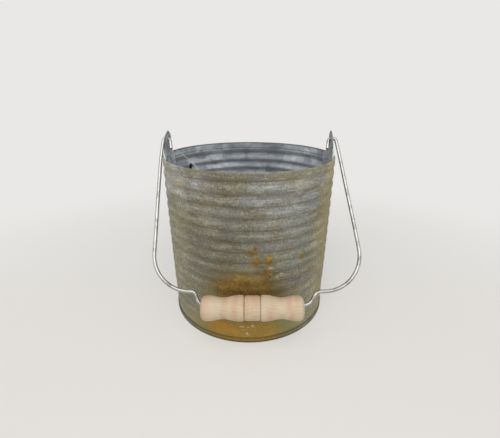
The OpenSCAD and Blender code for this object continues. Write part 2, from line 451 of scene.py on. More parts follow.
@dataclass(frozen=True)
class Place:
    """A soft oval on the front wall, in metres."""
    x: float
    z: float
    half_width: float
    half_height: float

    def depth(self, x: Value, z: Value) -> Value:
        """How far inside the oval a place is.

        Args:
            x: Where across.
            z: Where up.

        Returns:
            1 at the middle, 0 on the oval and less outside it.
        """
        across = (x - self.x) / self.half_width
        up = (z - self.z) / self.half_height
        return 1.0 - (across * across + up * up)


def deepest(places: tuple[Place, ...], x: Value, z: Value) -> Value:
    """How far inside any of some ovals a place is.

    Args:
        places: The ovals.
        x: Where across.
        z: Where up.

    Returns:
        Above 0 inside an oval, and below it outside them all.
    """
    depth, *others = (place.depth(x, z) for place in places)
    for other in others:
        depth = depth.larger(other)
    return depth


@dataclass(frozen=True)
class GainPatch:
    """A place where the zinc is lighter, darker, cooler or warmer by a gain on red, green and blue; some are
    tints of the zinc, some are painted light.
    """
    place: Place
    gain: Triple


@dataclass(frozen=True)
class Clip:
    """One straight stretch of the clipped corner of the seam's lap, with the width of a pale strip along it
    that is a painted highlight. Sizes in millimetres.
    """
    across: float
    z: float
    slope: float
    highlight_w: float


@dataclass(frozen=True)
class OuterZinc:
    """Weathered zinc on the outside: mottled grey-green and brown, with golden rust low on the front,
    painted shading on the ribs, painted light at the sides and the foot, and painted shade along the bead.
    """
    ribs: Ribs
    seam_angle: float
    bead_h: float
    bead_gain: Triple = (0.76, 0.76, 0.76)
    dark: Colour = paint(92, 88, 74)
    middle: Colour = paint(121, 117, 100)
    pale: Colour = paint(153, 153, 141)
    violet: Colour = paint(112, 109, 108)
    brown: Colour = paint(108, 94, 66)
    olive: Colour = paint(120, 108, 62)
    rust_light: Colour = paint(158, 122, 46)
    rust_middle: Colour = paint(122, 95, 34)
    rust_dark: Colour = paint(84, 70, 30)
    orange: Colour = paint(146, 98, 40)
    scratch_and_glint: Colour = paint(182, 178, 160)
    speck: Colour = paint(214, 209, 196)
    line: Colour = paint(62, 54, 36)
    tints_and_painted_light: tuple[GainPatch, ...] = (
        GainPatch(Place(0.030, 0.152, 0.036, 0.030), (1.19, 1.24, 1.44)),
        GainPatch(Place(0.050, 0.112, 0.026, 0.044), (1.07, 1.11, 1.15)),
        GainPatch(Place(0.070, 0.172, 0.030, 0.016), (1.34, 1.39, 1.55)),
        GainPatch(Place(-0.072, 0.168, 0.030, 0.022), (1.34, 1.39, 1.70)),
        GainPatch(Place(-0.008, 0.130, 0.024, 0.054), (0.85, 0.85, 0.85)),
        GainPatch(Place(-0.030, 0.094, 0.024, 0.034), (0.84, 0.82, 0.79)),
        # Painted light: the next two patches lighten the wall's left and right edges.
        GainPatch(Place(-0.084, 0.120, 0.026, 0.110), (1.30, 1.30, 1.20)),
        GainPatch(Place(0.084, 0.090, 0.022, 0.120), (1.42, 1.32, 1.05)),
        GainPatch(Place(0.001, 0.059, 0.036, 0.013), (0.74, 0.67, 0.44)),
        GainPatch(Place(0.018, 0.084, 0.011, 0.017), (0.76, 0.76, 0.72)),
        # Painted bounce light from the floor: the foot of the front is lighter.
        GainPatch(Place(-0.002, 0.010, 0.080, 0.026), (1.31, 1.29, 1.18)),
        GainPatch(Place(-0.030, 0.014, 0.018, 0.010), (1.20, 1.05, 0.80)),
        GainPatch(Place(0.062, 0.028, 0.020, 0.036), (1.13, 1.16, 1.19)),
        GainPatch(Place(-0.064, 0.034, 0.020, 0.036), (1.06, 1.08, 1.10)),
        GainPatch(Place(0.036, 0.014, 0.022, 0.012), (1.00, 1.12, 1.20)),
    )
    rusty: tuple[Place, ...] = (
        Place(-0.006, 0.062, 0.035, 0.022),
        Place(0.003, 0.103, 0.006, 0.004),
        Place(0.006, 0.107, 0.003, 0.004),
        Place(0.007, 0.093, 0.005, 0.006),
        Place(0.0195, 0.093, 0.004, 0.009),
        Place(0.017, 0.080, 0.006, 0.008),
        Place(0.014, 0.070, 0.009, 0.012),
        Place(0.052, 0.091, 0.003, 0.004),
        Place(-0.004, 0.012, 0.046, 0.020),
    )
    scuffs: tuple[Place, ...] = (Place(-0.002, 0.016, 0.010, 0.009), Place(0.026, 0.083, 0.010, 0.012))

    def make(self) -> Material:
        """Builds the material.

        Returns:
            The finished material.
        """
        g = Graph("weathered_zinc_outside")
        streak = g.cloud(0.040, 6, 0.62, stretch=(1, 1, 5.0), seed=1.3)
        blotch = g.cloud(0.016, 4, 0.6, stretch=(0.8, 0.8, 1.5), seed=6.1)
        dashes = g.cloud(0.010, 4, 0.65, stretch=(0.5, 0.5, 2.6), seed=4.8)
        grain = g.cloud(0.0017, 3, 0.7, seed=2.2)
        sway = (g.cloud(0.030, 3, 0.6, seed=8.3) - 0.5) * 0.4
        wave = self.ribs.wave(g, sway)
        flecks = g.cloud(0.0045, 3, 0.7, stretch=(0.6, 0.6, 1.9), seed=5.9)
        # Painted rib shading: a narrow lighter band where a rib's outside faces up and a dark band on its
        # underside.
        crest = wave.rise(0.45, 0.95) * 0.09 - wave.rise(-0.70, -0.98) * 0.10 - wave * 0.03
        threads = g.cloud(0.0042, 3, 0.7, stretch=(0.22, 0.22, 2.3), seed=8.8)
        tone = streak * 0.34 + blotch * 0.36 + dashes * 0.28 + flecks * 0.50 + threads * 0.42 + grain * 1.05
        tone = tone + crest - 0.955
        zinc = g.ramp(tone, (0.25, self.dark), (0.51, self.middle), (0.78, self.pale))
        wobble_x = (g.cloud(0.024, 4, 0.6, seed=3.1) - 0.5) * 0.040
        wobble_z = (g.cloud(0.020, 4, 0.6, seed=7.7) - 0.5) * 0.034
        hue = g.cloud(0.022, 4, 0.65, stretch=(0.7, 0.7, 1.6), seed=9.9)
        zinc = g.mix(hue.rise(0.50, 0.66) * 0.50, zinc, self.violet)
        zinc = g.mix(hue.rise(0.50, 0.36) * 0.40, zinc, self.olive)
        zinc = g.mix(wave.rise(-0.35, -0.95) * dashes.rise(0.62, 0.34) * 0.35, zinc, self.brown)
        # Painted glints: thin pale streaks on the right half of the front.
        glints = g.cloud(0.012, 3, 0.6, stretch=(1, 1, 9), seed=5.5).rise(0.60, 0.70)
        zinc = g.mix(glints * g.x.rise(-0.020, 0.020) * 0.40, zinc, self.scratch_and_glint)
        beside = abs(g.x).rise(0.030, 0.056)
        low = g.z.rise(0.090, 0.020) * (1.0 - beside * 0.6)
        side = g.x.rise(0.064, 0.086)
        zinc = g.mix(low.larger(side) * (0.15 + streak * 0.5), zinc, self.olive)
        colour, rust = self.rusted(g, zinc, grain, wobble_x * 0.30, wobble_z * 0.35)
        # Gains laid over the front: tints of the zinc, and painted light at the side edges and the foot.
        for gain_patch in self.tints_and_painted_light:
            share = gain_patch.place.depth(g.x + wobble_x, g.z + wobble_z).rise(-0.35, 0.75)
            colour = g.gained(share * g.y.rise(0.0, -0.02), colour, gain_patch.gain)
        specks = g.node("ShaderNodeTexVoronoi", {"feature": "F1"}, {"Vector": g.place, "Scale": 130.0},
                        "Distance").rise(0.10, 0.05)
        specks = specks * g.z.rise(0.164, 0.172) * g.cloud(0.02, 2, seed=6.6).rise(0.52, 0.60)
        colour = g.mix(specks, colour, self.speck)
        seam = abs(g.y.math("ARCTAN2", g.x) - self.seam_angle).rise(0.009, 0.004) * g.z.rise(0.170, 0.166)
        # Painted shade: dark lines in the gap over the bead and along the bead's underside; the seam line is
        # the joint's own dark line.
        painted_shade_over_bead = abs(g.z - self.bead_h).rise(0.0008, 0.0002)
        painted_shade_under_bead = g.z.rise(0.0036, 0.0014)
        colour = g.gained(g.z.rise(self.bead_h, self.bead_h - 0.0006), colour, self.bead_gain)
        seam_line_and_painted_bead_shade = (seam * 0.7).larger(painted_shade_over_bead * 0.50).larger(painted_shade_under_bead * 0.60)
        colour = g.mix(seam_line_and_painted_bead_shade, colour, self.line)
        height = grain * 0.5 + dashes * 0.35 + rust * 0.3 - seam
        return g.surface(colour, Metallic=0.35 - rust * 0.30, Roughness=0.46 + streak * 0.22 + rust * 0.25,
                         Normal=g.bump(height, 0.00025, 0.6))

    def rusted(self, g: Graph, zinc: Value, grain: Value, wobble_x: Value,
               wobble_z: Value) -> tuple[Value, Value]:
        """Lays golden rust over the zinc, darkest above the grip and lighter at the foot, where the lighter
        tone is painted bounce light from the floor.

        Args:
            g: The material's graph.
            zinc: The colour so far.
            grain: The finest noise.
            wobble_x: How far the patches' edges wander sideways.
            wobble_z: How far they wander up.

        Returns:
            The colour and the rust's share.
        """
        runs = g.cloud(0.0038, 5, 0.70, stretch=(1.4, 1.4, 0.8), seed=9.4)
        foot = g.z.rise(0.034, 0.020)
        eaten = deepest(self.rusty, g.x + wobble_x, g.z + wobble_z) + (runs - 0.5) * (1.7 - foot * 1.1)
        front = g.y.rise(0.0, -0.04)
        rust = eaten.rise(0.05, 0.70) * front
        drift = g.cloud(0.011, 4, 0.6, stretch=(1.6, 1.6, 0.8), seed=4.4)
        tone = runs * 0.6 + drift * 0.4 - 0.5 + (grain - 0.5) * 0.8
        # Painted bounce light: the rust's tone is lighter and flatter at the foot.
        colour = g.ramp(tone * (1 - foot * 0.60) + foot * 0.05 + 0.5,
                        (0.32, self.rust_dark), (0.50, self.rust_middle), (0.68, self.rust_light))
        warm = g.cloud(0.009, 3, 0.6, stretch=(1.4, 1.4, 0.7), seed=7.2).rise(0.52, 0.66)
        colour = g.mix(warm * (0.25 + foot * 0.25), colour, self.orange)
        stain = g.mix(eaten.rise(-1.2, 0.4) * front * (0.55 + foot * 0.35), zinc, self.olive)
        colour = g.mix(rust * (0.92 - foot * 0.15), stain, colour)
        scuff = g.cloud(0.0046, 3, 0.7, stretch=(0.6, 0.6, 1.5), seed=3.9).rise(0.57, 0.64)
        wear_and_rim_shade = deepest(self.scuffs, g.x, g.z).rise(-0.2, 0.6)
        return g.mix(scuff * wear_and_rim_shade * front * 0.75, colour, self.scratch_and_glint), rust


@dataclass(frozen=True)
class InnerZinc:
    """Cleaner blue-grey zinc on the inside, with crisp bands of painted shade under the ribs, painted light
    at the sides, a painted shadow in the seam's gap and a painted highlight on the lap's edge. Lengths in
    metres.
    """
    ribs: Ribs
    height: float
    gap_shadow_place: Triple
    lap_turn: float
    clip: Clip
    dark: Colour = paint(112, 118, 124)
    middle: Colour = paint(152, 157, 162)
    pale: Colour = paint(196, 200, 204)
    shade: Colour = paint(104, 109, 115)
    edge: Colour = paint(84, 88, 90)
    painted_gap_shadow: Colour = paint(30, 31, 33)
    bright: Colour = paint(205, 207, 206)

    def make(self) -> Material:
        """Builds the material.

        Returns:
            The finished material.
        """
        g = Graph("blue_grey_zinc_inside")
        warp = g.node("ShaderNodeTexNoise", {}, {"Vector": g.place, "Scale": 60.0, "Detail": 3.0}, "Color")
        bent = g.shifted(g.place, g.scaled(warp, (0.014, 0.014, 0.010)))
        spangle = g.cells(0.011, bent, 0.4)
        streak = g.cloud(0.030, 5, 0.6, stretch=(1, 1, 4), seed=1.9)
        dashes = g.cloud(0.007, 4, 0.65, stretch=(0.6, 0.6, 2.0), seed=3.7)
        grain = g.cloud(0.0017, 2, 0.6, seed=2.9)
        tone = spangle * 0.28 + streak * 0.60 + dashes * 0.50 + grain * 0.30 - 0.34
        colour = g.ramp(tone, (0.25, self.dark), (0.50, self.middle), (0.78, self.pale))
        # Painted shade: the middle of the back wall is darker, and the rest of the inside is lightened.
        painted_shade_middle = g.x.rise(-0.034, -0.006) * g.x.rise(0.060, 0.026) * g.y.rise(0.0, 0.02)
        colour = g.mix(painted_shade_middle, g.scaled(colour, (1.16, 1.16, 1.15)), g.scaled(colour, (0.78, 0.78, 0.78)))
        # Painted light: the inside is lighter towards the left and right, beside the ears; this mask also
        # roughens the zinc there.
        sides = abs(g.x).rise(0.058, 0.078)
        colour = g.gained(sides, colour, (1.14, 1.13, 1.12))
        # Painted shade: dark bands where the inner face of a rib faces down.
        wave = self.ribs.wave(g, (streak - 0.5) * 0.16 + 0.06)
        colour = g.mix(wave.rise(0.15, 0.62) * 0.58, colour, self.shade)
        hem_line = abs(g.z - self.height + 0.0068).rise(0.0009, 0.0003) * 0.6
        rim = g.z.rise(self.height - 0.0015, self.height - 0.0006)
        colour = g.mix(rim.larger(hem_line) * 0.80, colour, self.edge)
        # Painted shadow: a near-black spot where the seam's free end gapes from the wall.
        from_gap = g.scaled(g.seen_from(self.gap_shadow_place), (330, 330, 240))
        colour = g.mix(g.reach(from_gap).rise(1.15, 0.80), colour, self.painted_gap_shadow)
        # Painted highlight: a bright line carries the lap's clipped edge on up over the hem.
        across = g.y * cos(self.lap_turn) - g.x * sin(self.lap_turn) - self.clip.across * MM
        off_lap = abs(across - (g.z - self.clip.z * MM) * self.clip.slope)
        on_hem = g.z.rise(self.height - 0.0061, self.height - 0.0055) * g.y.rise(0.020, 0.024)
        edge = off_lap.rise(0.0014, 0.0006) * on_hem * g.z.rise(self.height, self.height - 0.0010)
        colour = g.mix(edge * 0.8, colour, self.bright)
        height = grain * 0.4 + spangle * 0.3
        return g.surface(colour, Metallic=0.20, Roughness=0.40 + streak * 0.2 + sides * 0.25,
                         Normal=g.bump(height, 0.00015, 0.5))


@dataclass(frozen=True)
class DullPlate:
    """Dull galvanised plate of the ears and rivets. On an ear, painted light makes the plate below the lug
    paler and painted shade darkens the lug's edge and the right plate's back part. Lengths in metres;
    without a lug the plate is plain.
    """
    name: str = "dull_plate"
    dark: Colour = paint(120, 125, 127)
    pale: Colour = paint(202, 206, 207)
    rim: Colour = paint(72, 75, 76)
    lit_plate_dark: Colour = paint(148, 153, 156)
    lit_plate_pale: Colour = paint(230, 233, 234)
    lug_z: float = 0.0
    lug_r: float = 0.0

    def make(self) -> Material:
        """Builds the material.

        Returns:
            The finished material.
        """
        g = Graph(self.name)
        blotch = g.cloud(0.006, 5, 0.65, seed=1.1)
        grain = g.cloud(0.0008, 2, 0.6, seed=3.3)
        colour = g.ramp(blotch * 0.8 + grain * 0.2, (0.34, self.dark), (0.60, self.pale))
        if self.lug_r:
            above = g.z - self.lug_z
            up = above.larger(0.0)
            out = (g.y * g.y + up * up).math("SQRT")
            # Painted light: the plate below the lug is lit paler and mottled, more on the left ear.
            mottle = g.cloud(0.0042, 4, 0.7, stretch=(1, 1, 1.4), seed=5.7)
            zinc = g.ramp(mottle, (0.36, self.lit_plate_dark), (0.64, self.lit_plate_pale))
            colour = g.mix(above.rise(-0.0018, -0.0118) * (0.72 - g.x * 3.0), colour, zinc)
            # Painted shade: the back part of the right ear's plate below the lug is darker.
            back = g.x.rise(0.0, 0.02) * g.y.rise(0.002, 0.012) * above.rise(-0.0038, -0.0098)
            colour = g.gained(back * 0.8, colour, (0.80, 0.80, 0.82))
            # Painted shade: a dark band along the edge of the lug.
            wear_and_rim_shade = out.rise(self.lug_r - 0.0024, self.lug_r - 0.0008) * above.rise(-0.0078, -0.0038)
            colour = g.mix(wear_and_rim_shade * 0.7, colour, self.rim)
        return g.surface(colour, Metallic=0.30, Roughness=0.42 + blotch * 0.25,
                         Normal=g.bump(grain, 0.00012, 0.5))


@dataclass(frozen=True)
class BrightWire:
    """Drawn steel: bright on the legs, greyer on the runs beside the grip as painted shade, with a few dull
    spots.
    """
    bright: Colour = paint(190, 189, 186)
    shaded_run: Colour = paint(175, 174, 169)
    dull: Colour = paint(112, 110, 104)

    def make(self) -> Material:
        """Builds the material.

        Returns:
            The finished material.
        """
        g = Graph("bright_wire")
        blotch = g.cloud(0.010, 4, 0.6, seed=2.0)
        grain = g.cloud(0.0009, 2, 0.6, seed=5.0)
        # Painted shade: the runs beside the grip are greyer than the legs.
        colour = g.mix(g.z.rise(0.090, 0.072), self.bright, self.shaded_run)
        colour = g.mix(blotch.rise(0.50, 0.70) * 0.8, colour, self.dull)
        return g.surface(colour, Metallic=0.90, Roughness=0.36 + blotch * 0.16 + grain * 0.10,
                         Normal=g.bump(grain, 0.00004, 0.5))


@dataclass(frozen=True)
class PaleWood:
    """Bare turned wood, pinkish beige, with faint wavy grain along the grip."""
    centre: Triple
    pale: Colour = paint(190, 174, 147)
    pink: Colour = paint(185, 154, 127)
    line: Colour = paint(164, 133, 103)

    def make(self) -> Material:
        """Builds the material.

        Returns:
            The finished material.
        """
        g = Graph("pale_turned_wood")
        local = g.seen_from(self.centre)
        sway = g.cloud(0.020, 2, 0.5, at=local, seed=0.4) - 0.5
        across = g.part(local, "Y") + g.part(local, "Z") * 0.35 + sway * 0.006
        rings = (across * 2600).math("SINE") * 0.5 + 0.5
        fibre = g.cloud(0.0035, 4, 0.6, at=local, stretch=(0.12, 1, 1), seed=1.4)
        blush = g.cloud(0.014, 3, 0.55, at=local, stretch=(1.2, 0.30, 0.30), seed=2.4)
        colour = g.mix(blush.rise(0.36, 0.64), self.pale, self.pink)
        colour = g.mix(rings * fibre.rise(0.35, 0.75) * 0.40, colour, self.line)
        pores = g.cloud(0.0006, 2, 0.6, at=local, stretch=(0.08, 1, 1), seed=3.4)
        return g.surface(colour, Roughness=0.55 + fibre * 0.15,
                         Normal=g.bump(pores * 0.6 + fibre * 0.4, 0.00008, 0.5))


@dataclass(frozen=True)
class PaperSweep:
    """The pale floor and backdrop, whose far part the camera sees as an even, shadowless pale grey."""
    paper: Colour = paint(222, 220, 216)
    bounce: Colour = paint(217, 215, 210)
    near: Colour = paint(226, 222, 217)
    middle: Colour = paint(231, 229, 226)
    far: Colour = paint(233, 232, 230)

    def make(self) -> Material:
        """Builds the material.

        Returns:
            The finished material.
        """
        g = Graph("paper_sweep")
        tone = g.ramp(g.y.rise(-0.20, 0.40), (0.0, self.near), (0.45, self.middle), (1.0, self.far))
        glow = g.node("ShaderNodeEmission", {}, {"Color": tone, "Strength": 1.0})
        fibres = g.cloud(0.25, 2, 0.5, seed=0.9)
        seen, glossy, through = (g.node("ShaderNodeLightPath", {}, {}, f"Is {kind} Ray")
                                 for kind in ("Camera", "Glossy", "Transmission"))
        paper = g.node("ShaderNodeBsdfDiffuse", {}, {"Color": g.mix(seen, self.bounce, self.paper),
                                                     "Normal": g.bump(fibres, 0.0005, 0.2)})
        share = seen.larger(glossy).larger(through) * (0.55 + g.reach(g.place).rise(0.14, 0.60) * 0.45)
        g.node_output(g.node("ShaderNodeMixShader", {}, {0: share, 1: paper, 2: glow}))
        return g.material


@dataclass(frozen=True)
class Finishes:
    """Every material of the pail."""
    outside: Material
    inside: Material
    painted_edge_highlight: Material
    plate: Material
    rivet: Material
    wire: Material
    wood: Material


# ---- the pail's body ----

@dataclass
class Body:
    """The ribbed sheet with its hem, its side seam and the rolled base. Millimetres and degrees."""
    rim_r: float
    height: float
    sheet: float = 0.7
    top_inset: float = 0.4
    foot_inset: float = 2.8
    belly: float = 0.4
    hem_h: float = 7.2
    flap: float = 0.6
    rib_count: int = 11
    rib_pitch: float = 10.8
    broad_rib: float = 12.6
    depth_top: float = 1.15
    depth_low: float = 0.3
    plain_h: float = 7.0
    samples: int = 11
    segments: int = 240
    bead_h: float = 5.4
    floor_h: float = 6.0
    foot_z: float = 0.9
    lap_start: float = 137.0
    lap_middle: float = 149.0
    lap_end: float = 165.0
    free_turn: float = 158.0
    free_low: float = 110.0
    free_high: float = 158.0
    free_gap: float = 1.1
    clips: tuple[Clip, ...] = (Clip(8.9, 169.7, 1.50, 1.2), Clip(-9.0, 156.6, 0.98, 2.4),
                               Clip(-15.0, 149.0, 0.55, 2.8))
    gape_turn: float = 146.4
    gape_z: float = 152.5

    def __post_init__(self) -> None:
        """Works out the places that follow from the sizes."""
        self.hem_low = self.height - self.hem_h
        self.neck_z = self.hem_low - 2
        self.rib_end = self.neck_z - self.broad_rib - self.rib_count * self.rib_pitch
        self.groove_r = self.rim_r - self.top_inset - self.flap
        self.foot_r = self.wall_r(self.plain_h)

    def level(self, z: float) -> float:
        """A height as a share of the wall."""
        return (z - self.plain_h) / (self.neck_z - self.plain_h)

    def wall_r(self, z: float) -> float:
        """Outer radius at a height, halfway between crests and valleys."""
        up, down = self.level(z), 1 - self.level(z)
        return self.rim_r - self.foot_inset * down - self.top_inset * up + self.belly * 4 * up * down

    def rib_depth(self, z: float) -> float:
        """Depth of the ribs at a height."""
        share = (z - self.rib_end) / (self.neck_z - self.rib_end)
        return max(0.0, self.depth_low + (self.depth_top - self.depth_low) * share)

    def swell(self, z: float) -> float:
        """How far the ribs put the wall out of its mean line.

        Args:
            z: The height.

        Returns:
            The distance, which is negative in a valley.
        """
        if z >= self.neck_z:
            return -self.rib_depth(z) / 2
        if z <= self.rib_end:
            return -self.rib_depth(self.rib_end) / 2 * smooth_step(self.plain_h, self.rib_end, z)
        drop = self.neck_z - z
        turn = drop / self.broad_rib if drop < self.broad_rib else (drop - self.broad_rib) / self.rib_pitch
        return -self.rib_depth(z) / 2 * cos(FULL_TURN * turn)

    def wall_face(self) -> list[Point]:
        """The wall's outer face.

        Returns:
            Its points, from the neck under the hem down to the foot.
        """
        heights = [self.neck_z - self.broad_rib * i / self.samples for i in range(self.samples)]
        top = self.neck_z - self.broad_rib
        count = self.rib_count * self.samples
        heights += [top - self.rib_pitch * i / self.samples for i in range(count + 1)]
        plain = 8
        heights += [self.rib_end + (self.plain_h - self.rib_end) * i / plain for i in range(1, plain + 1)]
        return [(self.wall_r(z) + self.swell(z), z) for z in heights]

    def sheet_outline(self) -> list[Point]:
        """The outline of the sheet: wall, folded hem with its open lower edge, and inner face.

        Returns:
            Its points, in order round the closed outline.
        """
        face = self.wall_face()
        inner_r = self.groove_r - self.sheet
        pocket = self.hem_low + 2.4
        flap_in = self.rim_r - self.flap
        edge = 0.22
        round_r = 0.75
        hem = arc((inner_r + round_r, self.height - round_r), round_r, 180, 90, 5)
        hem += arc((self.rim_r - round_r, self.height - round_r), round_r, 90, 0, 5)
        hem += [(self.rim_r - 0.02, self.hem_low + 4.0)]
        hem += arc((self.rim_r - edge, self.hem_low + edge), edge, 0, -90, 3)
        hem += [(flap_in, self.hem_low), (flap_in, pocket), (self.groove_r + 0.02, pocket + 0.2),
                (self.groove_r, self.hem_low + 1.0)]
        foot = [(self.foot_r - 0.05, self.foot_z), (self.foot_r - self.sheet, self.foot_z)]
        inner = [(r - self.sheet, z) for r, z in reversed(face)]
        inner += [(inner_r, self.neck_z + 2.5)]
        return hem + face + foot + inner

    def dent(self, angle: float, z: float) -> float:
        """How far handling has pushed the wall in or out.

        Args:
            angle: Where round the wall, in radians.
            z: The height.

        Returns:
            The distance, positive outwards.
        """
        side = Vector((cos(angle), sin(angle), 0))
        firm = smooth_step(self.plain_h, 45, z) * smooth_step(self.neck_z + 2, self.neck_z - 14, z)
        broad = noise.noise(side * 1.7 + Vector((0, 0, z / 70))) * 0.30
        bands = noise.noise(side * 3.2 + Vector((4, 0, z / 9))) * self.rib_depth(z) * 0.20
        small = noise.noise(side * 9 + Vector((9, 0, z / 14))) * 0.06
        return firm * (broad + bands + small)

    def disturb(self, mesh: Mesh) -> None:
        """Moves every point of a turned wall in or out by its dent."""
        for vert in mesh.verts:
            push_out(vert, self.dent(atan2(vert.co.y, vert.co.x), vert.co.z / MM))

    def build_sheet(self, finishes: Finishes) -> None:
        """Makes the ribbed sheet, whose inner half has the inside's finish.

        Args:
            finishes: The pail's materials.
        """
        mesh = lathe(self.sheet_outline(), self.segments)
        for face in mesh.faces:
            centre = face.calc_center_median()
            z = centre.z / MM
            shell_r = self.groove_r if z > self.neck_z else self.wall_r(z) + self.swell(z)
            face.material_index = int(off_axis(centre) < shell_r - self.sheet / 2)
        self.disturb(mesh)
        finish_piece(mesh, "ribbed_sheet", "pail",
                     [finishes.outside, finishes.inside], ("body_sheet",))

    def lap_outline(self) -> list[Point]:
        """The lap's open outline.

        Returns:
            Its points, from under the hem downwards, just inside the wall.
        """
        top, low, step = self.hem_low + 2, 12, 3
        heights = [top - step * i for i in range(int(top - low) // step + 1)]
        behind = self.sheet + 0.10
        return [(self.wall_r(z) + min(self.swell(z), 0.2) - behind, z) if z < self.neck_z
                else (self.groove_r - behind, z) for z in heights]

    def build_lap(self, finishes: Finishes) -> None:
        """Makes the inner end of the sheet, whose corner is clipped and stands a little off the wall, with a
        pale strip along the clipped edge as a painted highlight.

        Args:
            finishes: The pail's materials.
        """
        start, middle = radians(self.lap_start), radians(self.lap_middle)
        mesh = lathe(self.lap_outline(), 28, closed=False, angle=radians(self.lap_end) - start)
        put(mesh, Matrix.Rotation(start, 4, "Z"))
        across = Vector((-sin(middle), cos(middle), 0))
        highlight_strips = []
        for clip in self.clips:
            normal = (Vector((0, 0, clip.slope)) - across).normalized()
            place = (across * clip.across + Vector((0, 0, clip.z))) * MM
            inner = place - normal * clip.highlight_w * MM
            cut(mesh, place, normal, clear=True)
            cut(mesh, inner, normal)
            highlight_strips.append((inner, normal))
        # Faces of the strip along each clipped edge take the pale material of the painted highlight.
        for face in mesh.faces:
            centre = face.calc_center_median()
            face.material_index = int(any((centre - place).dot(normal) > 0 for place, normal in highlight_strips))
        for vert in mesh.verts:
            free = smooth_step(self.free_turn, self.lap_start, degrees(atan2(vert.co.y, vert.co.x)))
            free *= smooth_step(self.free_low, self.free_high, vert.co.z / MM)
            push_out(vert, -self.free_gap * free)
        self.disturb(mesh)
        bmesh.ops.recalc_face_normals(mesh, faces=mesh.faces)
        bmesh.ops.solidify(mesh, geom=mesh.faces[:], thickness=self.sheet * MM)
        bmesh.ops.recalc_face_normals(mesh, faces=mesh.faces)
        finish_piece(mesh, "seam_lap", "pail", [finishes.inside, finishes.painted_edge_highlight])

    def gap_place(self) -> Triple:
        """Where the seam's free end gapes, the middle of a painted shadow on the inside, in metres."""
        angle, radius = radians(self.gape_turn), self.wall_r(self.gape_z) - 2 * self.sheet
        return (radius * cos(angle) * MM, radius * sin(angle) * MM, self.gape_z * MM)

    def base_outline(self) -> list[Point]:
        """The open outline of the base pan, whose rolled edge leaves a slot for the sheet.

        Returns:
            Its points, from the middle of its underside to the middle of its top.
        """
        slot_in = self.foot_r - self.sheet - 0.1
        slot_out = self.foot_r + 0.05
        slot_z = 0.7
        skirt_in = slot_in - self.sheet
        bead_r = slot_out + self.sheet
        foot_round = 1.2
        lip = self.sheet / 2
        under = self.floor_h - self.sheet
        outline = [(0, under)] + arc((skirt_in - 1.0, under - 1.0), 1.0, 90, 0, 5)
        outline += arc((skirt_in + 0.3, 0.3), 0.3, 180, 270, 3)
        outline += arc((bead_r - foot_round, foot_round), foot_round, -90, 0, 8)
        outline += arc((bead_r - lip, self.bead_h - lip), lip, 0, 180, 6)
        return outline + [(slot_out, slot_z), (slot_in, slot_z), (slot_in, self.floor_h), (0, self.floor_h)]

    def build_base(self, finishes: Finishes) -> None:
        """Makes the base pan with its rolled bead.

        Args:
            finishes: The pail's materials.
        """
        mesh = lathe(self.base_outline(), self.segments, closed=False)
        for face in mesh.faces:
            face.material_index = int(off_axis(face.calc_center_median()) < self.foot_r - 0.2)
        finish_piece(mesh, "base_pan_rolled", "pail",
                     [finishes.outside, finishes.inside], ("base_pan",))


# ---- ears and rivets ----

class Side(Enum):
    """The two sides of the pail, as the sign of X."""
    LEFT = -1
    RIGHT = 1


